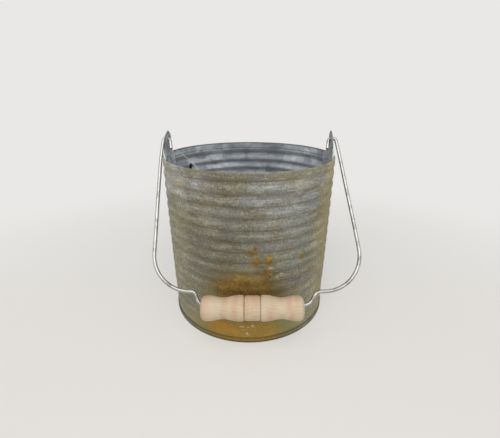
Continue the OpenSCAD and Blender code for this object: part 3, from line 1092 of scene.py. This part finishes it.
@dataclass
class Ear:
    """A stamped plate inside the rim with a rounded lug for the bail. Millimetres and degrees."""
    body: Body
    side: Side
    thick: float = 1.2
    lug_r: float = 11.5
    pivot_rise: float = 15.8
    hole_r: float = 2.5
    lug_set: float = 0.25
    half_w: float = 22.0
    corner_r: float = 5.0
    drop: float = 29.0
    rivet_turn: float = 9.2
    rivet_r: float = 2.9
    shank_r: float = 1.6
    dome_h: float = 1.1
    soft: float = 0.28

    def __post_init__(self) -> None:
        """Works out the places that follow from the sizes."""
        self.name = self.side.name.lower()
        self.pivot_z = self.body.height + self.pivot_rise
        self.lug_z = self.pivot_z - 4.4
        self.tip_z = self.lug_z + self.lug_r + 1.3
        self.bend_z = self.body.height + 5
        self.out_r = self.body.groove_r - self.body.sheet - 0.05
        self.in_r = self.out_r - self.thick
        self.rivet_z = self.body.neck_z - self.body.broad_rib
        self.lean = 8.0 if self.side is Side.LEFT else 5.0
        self.turn = -4.0 * self.side.value

    def outline(self) -> list[Point]:
        """The plate's flat outline.

        Returns:
            Its points, across and up, round the closed outline.
        """
        low, rim = self.body.height - self.drop, self.body.height
        tip_angle = 90 - degrees(acos(self.lug_r / (self.tip_z - self.lug_z)))
        corner, top_r, top_z = self.half_w - self.corner_r, 1.2, rim - 3.0
        shoulder, neck = (15.5, rim + 3.1), (12.6, rim + 4.6)
        start = -degrees(asin(5.0 / self.lug_r))
        half = arc((corner, low + self.corner_r), self.corner_r, -90, 0, 8)
        half += arc((self.half_w - top_r, top_z), top_r, 0, 68, 3) + [shoulder, neck]
        half += arc((0, self.lug_z), self.lug_r, start, tip_angle, 12)
        half += [(1.2, self.tip_z - 0.5), (0.4, self.tip_z)]
        return half + [(-y, z) for y, z in reversed(half)]

    def flat_plate(self) -> Mesh:
        """The flat plate with its bail hole, cut into strips so that it can be bent.

        Returns:
            The plate, on the plane where X is 0.
        """
        mesh = bmesh.new()
        rim = [mesh.verts.new((0, y * MM, z * MM)) for y, z in self.outline()]
        edges = [mesh.edges.new(pair) for pair in zip(rim, rim[1:] + rim[:1])]
        hole = bmesh.ops.create_circle(mesh, segments=32, radius=self.hole_r * MM)["verts"]
        spot = Matrix.Translation((0, 0, self.pivot_z * MM)) @ Matrix.Rotation(pi / 2, 4, "Y")
        bmesh.ops.transform(mesh, matrix=spot, verts=hole)
        edges += dict.fromkeys(edge for vert in hole for edge in vert.link_edges)
        bmesh.ops.triangle_fill(mesh, use_beauty=True, use_dissolve=True, edges=edges)
        strip = 2.0
        count = int(self.half_w / strip)
        for i in range(-count, count + 1):
            cut(mesh, Vector((0, i * strip * MM, 0)), Vector((0, 1, 0)))
        for step in (-1, 0, 1, 4, 8, 12):
            cut(mesh, Vector((0, 0, (self.bend_z + step) * MM)), Vector((0, 0, 1)))
        return mesh

    def bend(self, vert: Vector, radius: float) -> Vector:
        """Bends a point of the flat plate: curved with the wall below, leaning and turned above.

        Args:
            vert: The point, in metres.
            radius: Radius of the plate's middle layer below the rim.

        Returns:
            Where the point goes, in metres.
        """
        y, z = vert.y / MM, vert.z / MM
        above = max(0.0, z - self.bend_z)
        flat = smooth_step(self.body.height, self.bend_z + 1, z)
        turn, lean = radians(self.turn) * flat, radians(self.lean)
        curved = (radius * radius - y * y) ** 0.5
        x = curved * (1 - flat) + (radius - self.lug_set) * flat - above * sin(lean)
        z -= above * (1 - cos(lean))
        return Vector((x * MM - vert.y * sin(turn), vert.y * cos(turn), z * MM))

    def build(self, finishes: Finishes) -> None:
        """Makes the ear and its two rivets.

        Args:
            finishes: The pail's materials.
        """
        mesh = self.flat_plate()
        for vert in mesh.verts:
            vert.co = self.bend(vert.co, (self.out_r + self.in_r) / 2)
        bmesh.ops.recalc_face_normals(mesh, faces=mesh.faces)
        bmesh.ops.solidify(mesh, geom=mesh.faces[:], thickness=self.thick * MM)
        low = self.body.height * MM - 0.01
        back = max(vert.co.x for vert in mesh.verts if abs(vert.co.y) < MM and vert.co.z < low)
        put(mesh, Matrix.Translation((self.out_r * MM - back, 0, 0)))
        bmesh.ops.recalc_face_normals(mesh, faces=mesh.faces)
        rim = [edge for edge in mesh.edges if edge.calc_face_angle(0.0) > radians(50)]
        bmesh.ops.bevel(mesh, geom=rim, offset=self.soft * MM, affect="EDGES", segments=2, profile=0.5,
                        material=-1, offset_type="OFFSET")
        self.mirror(mesh)
        finish_piece(mesh, f"ear_plate_{self.name}", "pail", [finishes.plate],
                     (f"ear_{self.name}",), 50)
        for turn, place in ((-1, "front"), (1, "back")):
            self.build_rivet(finishes, turn, place)

    def mirror(self, mesh: Mesh) -> None:
        """Puts a shape made for the right-hand side on this ear's own side."""
        if self.side is Side.LEFT:
            bmesh.ops.scale(mesh, verts=mesh.verts, vec=(-1, 1, 1))
            bmesh.ops.reverse_faces(mesh, faces=mesh.faces)

    def build_rivet(self, finishes: Finishes, turn: int, place: str) -> None:
        """Makes one rivet with a domed outer head and a flat inner one.

        Args:
            finishes: The pail's materials.
            turn: Which way it stands from the ear's middle, -1 or 1.
            place: The same as a word of its name.
        """
        grip = self.thick + self.body.sheet + 0.1
        dome_r = (self.rivet_r ** 2 + self.dome_h ** 2) / (2 * self.dome_h)
        half_angle = degrees(asin(self.rivet_r / dome_r))
        inner = -0.7 * self.dome_h
        outline = [(0, inner), (self.rivet_r - 0.7, inner), (self.rivet_r - 0.3, inner + 0.12),
                   (self.rivet_r, inner + 0.45), (self.rivet_r, 0), (self.shank_r, 0), (self.shank_r, grip),
                   (self.rivet_r, grip)]
        outline += arc((0, grip + self.dome_h - dome_r), dome_r, 90 - half_angle + 6, 90, 8)
        mesh = lathe(outline, 32, closed=False)
        put(mesh, Matrix.Rotation(radians(turn * self.rivet_turn), 4, "Z")
            @ Matrix.Translation(((self.in_r - 0.05) * MM, 0, self.rivet_z * MM))
            @ Matrix.Rotation(pi / 2, 4, "Y"))
        self.mirror(mesh)
        finish_piece(mesh, f"rivet_head_{self.name}_{place}", "pail", [finishes.rivet],
                     (f"rivet_{self.name}_{place}",), 45)


# ---- bail and grip ----

@dataclass(frozen=True)
class BailSide:
    """One side of the bail: its leg, its step down to the grip and its hook. Millimetres and degrees."""
    splay: float
    step_angle: float
    upper_bend: float
    lower_bend: float
    rod: float
    lean: float
    hook_x: float
    hook_flat: float


@dataclass
class Bail:
    """The bent wire and the turned grip that it carries. Sizes in millimetres, angles in degrees."""
    pivot_z: float
    rest_tilt: float
    grip_x: float
    grip_drop: float
    wire_r: float = 1.74
    run_drop: float = 157.2
    shoulder_r: float = 36.0
    hook_r: float = 3.2
    hook_tail: float = 9.4
    tail_round: float = 0.45
    tail_lean: float = 9.0
    knee_r: float = 60.0
    knee_len: float = 18.5
    wire_lift: float = 2.6
    waves: float = 0.5
    ring: int = 20
    left: BailSide = BailSide(splay=-0.4, step_angle=68, upper_bend=4.7, lower_bend=8, rod=40.2,
                              lean=3.2, hook_x=86.5, hook_flat=1)
    right: BailSide = BailSide(splay=6.9, step_angle=60, upper_bend=8.5, lower_bend=10, rod=50.3,
                               lean=8, hook_x=87.5, hook_flat=1.8)

    def plane(self) -> Matrix:
        """The move from the bail's own plane, with Y away from the pivot, to the shared frame."""
        return Matrix.Translation((0, 0, self.pivot_z * MM)) \
            @ Matrix.Rotation(radians(-90 - self.rest_tilt), 4, "X") @ Matrix.Scale(-1, 4, (0, 0, 1))

    def leg(self, splay: float, lean: float) -> float:
        """Length of a leg between its shoulder and its slight knee beside the hem.

        Args:
            splay: How far the leg splays, in radians.
            lean: How far it leans above its knee, in radians.

        Returns:
            The length.
        """
        return (self.run_drop - self.shoulder_r * (1 + sin(splay)) - self.knee_r * (sin(lean) - sin(splay))
                - self.knee_len * cos(lean) - self.hook_r * (1 - sin(lean))) / cos(splay)

    def steps(self, side: BailSide) -> list[tuple[float, ...]]:
        """The wire from the middle of the grip to the tail of a hook.

        Args:
            side: The side of the bail.

        Returns:
            Its straight runs as (length,) and its bends as (radius, degrees).
        """
        splay, angle, lean = radians(side.splay), radians(side.step_angle), radians(side.lean)
        leg = self.leg(splay, lean)
        bends = side.upper_bend + side.lower_bend
        slant = (self.grip_drop - self.wire_lift - self.run_drop - bends * (1 - cos(angle))) / sin(angle)
        step_w = bends * sin(angle) + slant * cos(angle)
        knee_x = side.hook_x + side.hook_flat / 2 + self.hook_r * cos(lean) + self.knee_len * sin(lean)
        leg_x = knee_x - self.knee_r * (cos(lean) - cos(splay)) + leg * sin(splay)
        shoulder_x = leg_x - self.shoulder_r * cos(splay)
        step = [(side.rod,), (side.lower_bend, side.step_angle), (slant,),
                (side.upper_bend, -side.step_angle), (shoulder_x - side.rod - step_w,)]
        rise = [(self.shoulder_r, 90 + side.splay), (leg,), (self.knee_r, side.lean - side.splay),
                (self.knee_len,)]
        hook = [(self.hook_r, 90 - side.lean), (side.hook_flat,), (self.hook_r, 90 - self.tail_lean),
                (self.hook_tail,)]
        return step + rise + hook

    def sweep(self, mesh: Mesh, ring: list, steps: list[tuple[float, ...]]) -> list:
        """Pushes a ring of wire along runs and round bends, starting along +X with bends towards -Y.

        Args:
            mesh: The wire so far.
            ring: Its open end, as verts and edges.
            steps: The runs and bends.

        Returns:
            The last ring.
        """
        place, heading = Vector((0, 0, 0)), 0.0
        for step in steps:
            if len(step) == 1:
                run = Vector((cos(heading), sin(heading), 0)) * step[0]
                pieces = max(1, round(step[0] / 12))
                for _ in range(pieces):
                    made = bmesh.ops.extrude_edge_only(mesh, edges=of_kind(ring, Edge))["geom"]
                    ring = self.open_end(made)
                    bmesh.ops.translate(mesh, verts=of_kind(ring, Vert), vec=run / pieces * MM)
                place = place + run
                continue
            radius, turn = step[0], radians(abs(step[1]))
            sign = -1 if step[1] > 0 else 1
            centre = place + Vector((-sin(heading), cos(heading), 0)) * radius * sign
            ring = bmesh.ops.spin(mesh, geom=ring, cent=centre * MM, axis=(0, 0, sign), angle=turn,
                                  steps=max(6, round(degrees(turn) / 7)))["geom_last"]
            heading += sign * turn
            place = centre - Vector((-sin(heading), cos(heading), 0)) * radius * sign
        return ring

    @staticmethod
    def open_end(ring: list) -> list:
        """Only the edges that bound the wire's open end, and their verts."""
        edges = [edge for edge in of_kind(ring, Edge) if len(edge.link_faces) <= 1]
        return edges + list(dict.fromkeys(vert for edge in edges for vert in edge.verts))

    def half_wire(self, side: BailSide, mirrored: bool) -> Mesh:
        """One half of the bail, from the middle of the grip, in the bail's plane.

        Args:
            side: The side of the bail.
            mirrored: Whether it goes towards -X.

        Returns:
            The half, open at the middle.
        """
        mesh = bmesh.new()
        bmesh.ops.create_circle(mesh, segments=self.ring, radius=self.wire_r * MM)
        put(mesh, Matrix.Rotation(pi / 2, 4, "Y"))
        ring = self.sweep(mesh, mesh.edges[:] + mesh.verts[:], self.steps(side))
        tail = of_kind(self.open_end(ring), Edge)
        cap = bmesh.ops.contextual_create(mesh, geom=tail)["faces"]
        rim = [edge for face in cap for edge in face.edges]
        bmesh.ops.bevel(mesh, geom=rim, offset=self.tail_round * MM, affect="EDGES", segments=3,
                        profile=0.5, material=-1)
        put(mesh, Matrix.Translation((0, (self.grip_drop - self.wire_lift) * MM, 0)))
        if mirrored:
            bmesh.ops.scale(mesh, verts=mesh.verts, vec=(-1, 1, 1))
        return mesh

    def build_wire(self, finishes: Finishes) -> None:
        """Makes the bail's wire as one piece, slightly wavy along its legs.

        Args:
            finishes: The pail's materials.
        """
        mesh = self.half_wire(self.right, False)
        other = self.half_wire(self.left, True)
        half = bpy.data.meshes.new("left_half")
        other.to_mesh(half)
        other.free()
        mesh.from_mesh(half)
        bpy.data.meshes.remove(half)
        bmesh.ops.remove_doubles(mesh, verts=mesh.verts, dist=1e-6)
        for vert in mesh.verts:
            far = smooth_step(70, 88, abs(vert.co.x) / MM) * smooth_step(34, 60, vert.co.y / MM)
            vert.co.x += noise.noise(Vector((vert.co.y * 22, vert.co.x * 5, 3))) * self.waves * MM * far
        put(mesh, self.plane())
        bmesh.ops.recalc_face_normals(mesh, faces=mesh.faces)
        finish_piece(mesh, "bail_bent_wire", "bail", [finishes.wire], ("bail_wire",), 60)

    def grip_outline(self) -> list[Point]:
        """The grip's closed outline.

        Returns:
            Its points as (radius, along), from the left end's mouth round to the bore.
        """
        half_l, middle_r, crown_r, waist_r, end_r = 47.1, 11.4, 11.9, 9.7, 11.5
        groove_x, groove_w, groove_r, shoulder_w, shoulder_drop = 7.4, 0.5, 10.0, 2.6, 0.8
        crown_x, waist_x, bulge_x, end_round = 11.9, 27.0, 39.5, 5.0
        bore_r, mouth_r, mouth_depth = 4.6, 6.0, 3.0

        def radius(x: float) -> float:
            """Radius of the wood.

            Args:
                x: How far along from the middle.

            Returns:
                The radius there.
            """
            x = abs(x)
            if x <= crown_x:
                off = abs(x - groove_x)
                crest = middle_r if x < groove_x else crown_r
                shoulder = crest - shoulder_drop * max(0.0, 1 - off / shoulder_w) ** 2
                return groove_r + (shoulder - groove_r) * min(1.0, off / groove_w)
            if x <= waist_x:
                share = (x - crown_x) / (waist_x - crown_x)
                return waist_r + (crown_r - waist_r) * (1 + cos(pi * share)) / 2
            share = min(1.0, (x - waist_x) / (bulge_x - waist_x))
            into = max(0.0, x - (half_l - end_round))
            return end_r - (end_r - waist_r) * (1 + cos(pi * share)) / 2 \
                - end_round + (end_round ** 2 - into ** 2) ** 0.5

        places = [-half_l + 2 * half_l * i / 140 for i in range(141)]
        places += [s * (groove_x + d) for s in (-1, 1) for d in (-1, -groove_w, -0.2, 0, 0.2, groove_w, 1)]
        places += [s * (half_l - d) for s in (-1, 1) for d in (0.05, 0.2, 0.4)]
        outer = [(radius(x), x) for x in sorted(places)]
        right = [(mouth_r + 0.12, half_l), (mouth_r - 0.05, half_l - 0.15), (bore_r, half_l - mouth_depth)]
        return outer + right + [(r, -x) for r, x in reversed(right)]

    def build_grip(self, finishes: Finishes) -> None:
        """Makes the turned grip with its bore.

        Args:
            finishes: The pail's materials.
        """
        mesh = lathe(self.grip_outline(), 96)
        middle = Matrix.Translation((self.grip_x * MM, self.grip_drop * MM, 0))
        put(mesh, self.plane() @ middle @ Matrix.Rotation(pi / 2, 4, "Y"))
        bmesh.ops.recalc_face_normals(mesh, faces=mesh.faces)
        finish_piece(mesh, "turned_grip", "grip", [finishes.wood], ("grip",), 24)


# ---- studio ----

@dataclass(frozen=True)
class Lamp:
    """A square lamp that faces the pail's middle. Metres and watts."""
    name: str
    place: Triple
    size: float
    power: float

    def build(self, middle: Vector) -> None:
        """Adds the lamp.

        Args:
            middle: The point that it faces.
        """
        data = bpy.data.lights.new(self.name, "AREA")
        data.shape = "SQUARE"
        data.size = self.size
        data.energy = self.power
        lamp = add_object(self.name, data)
        lamp.location = self.place
        lamp.rotation_euler = (middle - Vector(self.place)).to_track_quat("-Z", "Y").to_euler()


@dataclass(frozen=True)
class Studio:
    """The paper sweep, the lamps and the camera, whose place is in rim radii. Other lengths in metres."""
    rim_r: float
    height: float
    camera_back: float = 3.809
    camera_up: float = 2.620
    camera_side: float = 0.0117
    pitch: float = 21.45
    lens: float = 22.88
    room: Colour = (1.0, 0.995, 0.985, 1.0)
    room_strength: float = 0.49
    lamps: tuple[Lamp, ...] = (
        Lamp("overhead", (-0.05, -0.80, 1.02), 0.9, 10.8),
        Lamp("left_front", (-1.1, -0.9, 0.9), 0.9, 2.3),
        Lamp("right_front", (1.1, -0.9, 0.9), 0.9, 2.3),
    )

    def build(self) -> None:
        """Sets everything round the pail."""
        self.build_sweep()
        self.build_room()
        for lamp in self.lamps:
            lamp.build(Vector((0, 0, self.height / 2)))
        self.build_camera()
        bpy.context.scene.view_settings.view_transform = "Standard"

    def build_sweep(self) -> None:
        """A floor that curves up into a backdrop, standing far behind the pail."""
        half_w, front, back, bend_r, top = 6.0, -3.0, 1.6, 0.9, 4.0
        mesh = bmesh.new()
        profile = [(front, 0.0)] + arc((back, bend_r), bend_r, -90, 0, 16) + [(back + bend_r, top)]
        verts = [mesh.verts.new((-half_w, y, z)) for y, z in profile]
        edges = [mesh.edges.new(pair) for pair in zip(verts, verts[1:])]
        made = bmesh.ops.extrude_edge_only(mesh, edges=edges)["geom"]
        bmesh.ops.translate(mesh, verts=of_kind(made, Vert), vec=(2 * half_w, 0, 0))
        add_mesh(mesh, "paper_sweep", [PaperSweep().make()], 60)

    def build_room(self) -> None:
        """An even pale world all round."""
        world = bpy.data.worlds.new("soft_room")
        bpy.context.scene.world = world
        world.use_nodes = True
        background = world.node_tree.nodes["Background"]
        background.inputs["Color"].default_value = self.room
        background.inputs["Strength"].default_value = self.room_strength

    def build_camera(self) -> None:
        """A wide lens close to the pail, a little above its rim and looking down."""
        data = bpy.data.cameras.new("camera")
        data.lens = self.lens
        data.sensor_width = 36.0
        data.clip_start = 0.01
        camera = add_object("camera", data)
        camera.location = Vector((self.camera_side, -self.camera_back, self.camera_up)) * self.rim_r
        camera.rotation_euler = (radians(90 - self.pitch), 0, 0)
        bpy.context.scene.camera = camera


def make_finishes(body: Body, ear: Ear, grip_middle: Triple) -> Finishes:
    """Makes every material of the pail.

    Args:
        body: The pail's body, whose ribs, bead and lap the zinc follows.
        ear: An ear, whose lug the plate follows.
        grip_middle: The middle of the grip, in metres.

    Returns:
        The materials.
    """
    ribs = Ribs((body.neck_z - body.broad_rib) * MM, body.rib_pitch * MM, body.broad_rib * MM)
    inside = InnerZinc(ribs, body.height * MM, body.gap_place(), radians(body.lap_middle), body.clips[0])
    return Finishes(
        outside=OuterZinc(ribs, radians(body.lap_end - 0.5), (body.bead_h + 0.5) * MM).make(),
        inside=inside.make(),
        # The pale strip along the lap's clipped edge is a painted highlight.
        painted_edge_highlight=DullPlate("painted_edge_highlight", paint(178, 180, 178), paint(222, 224, 222)).make(),
        plate=DullPlate(lug_z=ear.lug_z * MM, lug_r=ear.lug_r * MM).make(),
        rivet=DullPlate("rivet_zinc", paint(112, 115, 114), paint(176, 178, 176)).make(),
        wire=BrightWire().make(),
        wood=PaleWood(grip_middle).make())


def main() -> None:
    """Builds the pail's pieces in order and sets the studio round them."""
    logging.basicConfig(level=logging.INFO, format="%(message)s")
    _, sheet_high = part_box("body_sheet")
    places = {joint["name"]: joint["pos_m"] for joint in frame["joints"]}
    pivot_z = places["bail_swing"][2] / MM
    grip_x, grip_y, grip_z = (along / MM for along in places["grip_spin"])
    body = Body(rim_r=90.0, height=round(sheet_high[2] / MM, 2))
    ears = [Ear(body, side) for side in Side]
    bail = Bail(pivot_z=pivot_z, rest_tilt=degrees(atan2(-grip_y, pivot_z - grip_z)), grip_x=grip_x,
                grip_drop=hypot(grip_y, pivot_z - grip_z))
    finishes = make_finishes(body, ears[0], tuple(places["grip_spin"]))
    body.build_sheet(finishes)
    body.build_lap(finishes)
    body.build_base(finishes)
    for ear in ears:
        ear.build(finishes)
    bail.build_wire(finishes)
    bail.build_grip(finishes)
    Studio(rim_r=body.rim_r * MM, height=body.height * MM).build()


if __name__ == "__main__":
    main()
